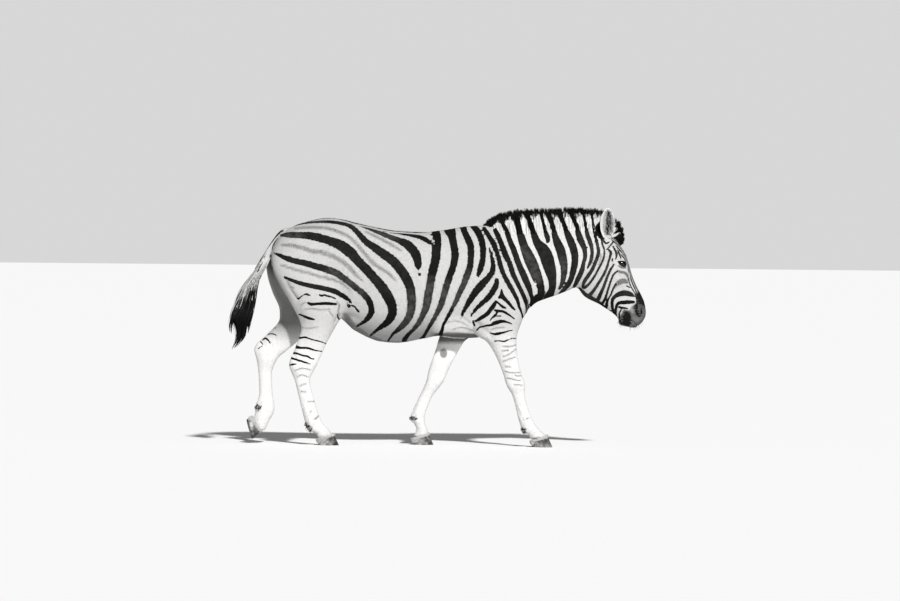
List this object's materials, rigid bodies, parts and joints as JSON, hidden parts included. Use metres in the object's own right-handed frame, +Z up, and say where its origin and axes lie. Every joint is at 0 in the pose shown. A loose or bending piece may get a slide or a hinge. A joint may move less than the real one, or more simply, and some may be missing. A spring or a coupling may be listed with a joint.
{
  "type": "zebra",
  "caption": "Life-size still model of a plains zebra in mid walk, one hind foot just off the floor, with an upright mane and a tufted tail.",
  "frame": {"origin": "on the floor, under the middle of the box round the whole animal", "axes": "+X to the front, along the direction of walking; +Y to the animal's left; +Z up"},
  "size_m": [2.5173, 0.524, 1.4339],
  "materials": {
    "coat": "short flat hair, white with black stripes",
    "dark_hair": "long coarse hair, black with white bands in the mane",
    "hoof_horn": "dull grey-brown horn",
    "eye": "wet and glossy, near black"
  },
  "bodies": {
    "root": {"trunk": "coat", "neck": "coat", "head": "coat", "ear_left": "coat", "ear_right": "coat", "eye_left": "eye", "eye_right": "eye", "mane": "dark_hair", "forelock": "dark_hair", "fore_leg_left": "coat", "fore_leg_right": "coat", "hind_leg_left": "coat", "hind_leg_right": "coat", "hoof_fore_left": "hoof_horn", "hoof_fore_right": "hoof_horn", "hoof_hind_left": "hoof_horn", "hoof_hind_right": "hoof_horn", "tail_dock": "coat", "tail_switch": "dark_hair"}
  },
  "joints": []
}
